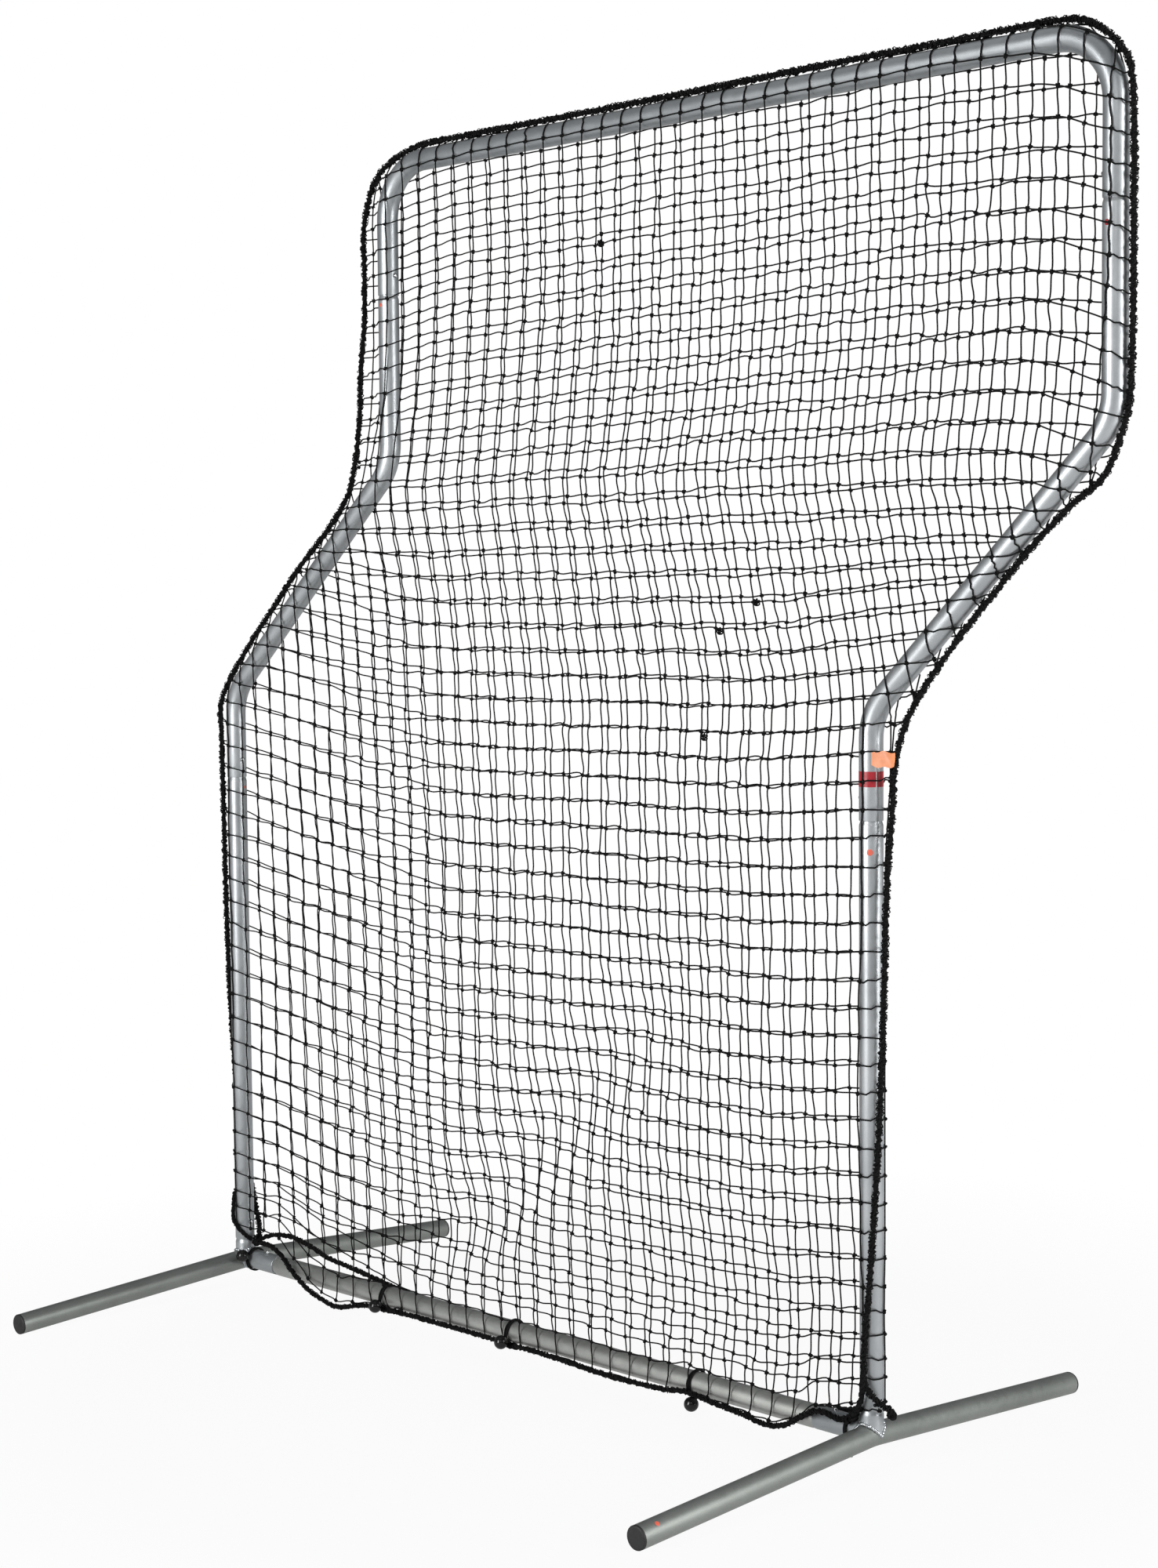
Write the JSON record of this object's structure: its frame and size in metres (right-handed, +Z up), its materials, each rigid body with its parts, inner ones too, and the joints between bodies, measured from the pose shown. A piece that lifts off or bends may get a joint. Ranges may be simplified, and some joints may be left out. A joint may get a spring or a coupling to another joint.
{
  "type": "rebound pitching screen",
  "caption": "Free-standing offset pitching screen: a Z-shaped knock-down tube frame on two arched feet with a two-layer knotted net held by a lacing rope and ball bungees.",
  "frame": {"origin": "on the ground, under the middle of the whole screen's box", "axes": "+Z up, -Y towards the front (the side that faces the viewer), +X to the viewer's right"},
  "size_m": [2.1576, 1.062, 2.1904],
  "materials": {
    "frame_steel": "silver-grey metallic powder coat, satin",
    "weld": "powder coat over weld beads",
    "plug": "moulded matt black",
    "spring_steel": "plated, bright",
    "twine": "knotted black nylon twine",
    "elastic": "braided sleeve over elastic",
    "ball": "moulded gloss black"
  },
  "bodies": {
    "frame": {"left_foot_tube": "frame_steel", "left_upright_stub": "frame_steel", "left_foot_spring": "spring_steel", "left_rail_stub": "frame_steel", "left_upright_weld": "weld", "left_front_plug": "plug", "left_rear_plug": "plug", "left_lower_upright": "frame_steel", "left_middle_spring": "spring_steel", "left_offset_tube": "frame_steel", "left_upper_spring": "spring_steel", "right_foot_tube": "frame_steel", "right_upright_stub": "frame_steel", "right_foot_spring": "spring_steel", "right_rail_stub": "frame_steel", "right_upright_weld": "weld", "right_front_plug": "plug", "right_rear_plug": "plug", "right_lower_upright": "frame_steel", "right_middle_spring": "spring_steel", "right_offset_tube": "frame_steel", "right_upper_spring": "spring_steel", "top_bar": "frame_steel", "bottom_rail": "frame_steel", "left_rail_spring": "spring_steel", "right_rail_spring": "spring_steel", "net_front": "twine", "net_rear": "twine", "seam_rope": "twine", "front_hem_rope": "twine", "rear_hem_rope": "twine"},
    "left_foot_button": {"left_foot_button": "spring_steel"},
    "left_middle_button": {"left_middle_button": "spring_steel"},
    "left_upper_button": {"left_upper_button": "spring_steel"},
    "right_foot_button": {"right_foot_button": "spring_steel"},
    "right_middle_button": {"right_middle_button": "spring_steel"},
    "right_upper_button": {"right_upper_button": "spring_steel"},
    "left_rail_button": {"left_rail_button": "spring_steel"},
    "right_rail_button": {"right_rail_button": "spring_steel"},
    "bungee_1": {"bungee_1_loop": "elastic", "bungee_1_ball": "ball"},
    "bungee_2": {"bungee_2_loop": "elastic", "bungee_2_ball": "ball"},
    "bungee_3": {"bungee_3_loop": "elastic", "bungee_3_ball": "ball"},
    "bungee_4": {"bungee_4_loop": "elastic", "bungee_4_ball": "ball"},
    "bungee_5": {"bungee_5_loop": "elastic", "bungee_5_ball": "ball"}
  },
  "joints": [
    {"name": "left_foot_press", "type": "slide", "parent": "frame", "child": "left_foot_button", "axis": [-1, 0, 0], "range_m": [0, 0.0062], "stiffness_N_per_m": 2500, "springref_m": -0.0016, "deforming": ["left_foot_spring"]},
    {"name": "left_middle_press", "type": "slide", "parent": "frame", "child": "left_middle_button", "axis": [-1, 0, 0], "range_m": [0, 0.0062], "stiffness_N_per_m": 2500, "springref_m": -0.0016, "deforming": ["left_middle_spring"]},
    {"name": "left_upper_press", "type": "slide", "parent": "frame", "child": "left_upper_button", "axis": [-1, 0, 0], "range_m": [0, 0.0062], "stiffness_N_per_m": 2500, "springref_m": -0.0016, "deforming": ["left_upper_spring"]},
    {"name": "right_foot_press", "type": "slide", "parent": "frame", "child": "right_foot_button", "axis": [1, 0, 0], "range_m": [0, 0.0062], "stiffness_N_per_m": 2500, "springref_m": -0.0016, "deforming": ["right_foot_spring"]},
    {"name": "right_middle_press", "type": "slide", "parent": "frame", "child": "right_middle_button", "axis": [1, 0, 0], "range_m": [0, 0.0062], "stiffness_N_per_m": 2500, "springref_m": -0.0016, "deforming": ["right_middle_spring"]},
    {"name": "right_upper_press", "type": "slide", "parent": "frame", "child": "right_upper_button", "axis": [1, 0, 0], "range_m": [0, 0.0062], "stiffness_N_per_m": 2500, "springref_m": -0.0016, "deforming": ["right_upper_spring"]},
    {"name": "left_rail_press", "type": "slide", "parent": "frame", "child": "left_rail_button", "axis": [0, 0, -1], "range_m": [0, 0.0062], "stiffness_N_per_m": 2500, "springref_m": -0.0016, "deforming": ["left_rail_spring"]},
    {"name": "right_rail_press", "type": "slide", "parent": "frame", "child": "right_rail_button", "axis": [0, 0, -1], "range_m": [0, 0.0062], "stiffness_N_per_m": 2500, "springref_m": -0.0016, "deforming": ["right_rail_spring"]},
    {"name": "bungee_1_turn", "type": "hinge", "parent": "frame", "child": "bungee_1", "pos_m": [-0.98957, 0, 0.0535], "axis": [1, 0, 0], "range_deg": [-22, 45]},
    {"name": "bungee_2_turn", "type": "hinge", "parent": "frame", "child": "bungee_2", "pos_m": [-0.57757, 0, 0.0535], "axis": [1, 0, 0], "range_deg": [-45, 13]},
    {"name": "bungee_3_turn", "type": "hinge", "parent": "frame", "child": "bungee_3", "pos_m": [-0.22757, 0, 0.0535], "axis": [1, 0, 0], "range_deg": [-45, 12]},
    {"name": "bungee_4_turn", "type": "hinge", "parent": "frame", "child": "bungee_4", "pos_m": [0.22143, 0, 0.0535], "axis": [1, 0, 0], "range_deg": [-18, 45]},
    {"name": "bungee_5_turn", "type": "hinge", "parent": "frame", "child": "bungee_5", "pos_m": [0.56143, 0, 0.0535], "axis": [1, 0, 0], "range_deg": [-45, 34]}
  ]
}
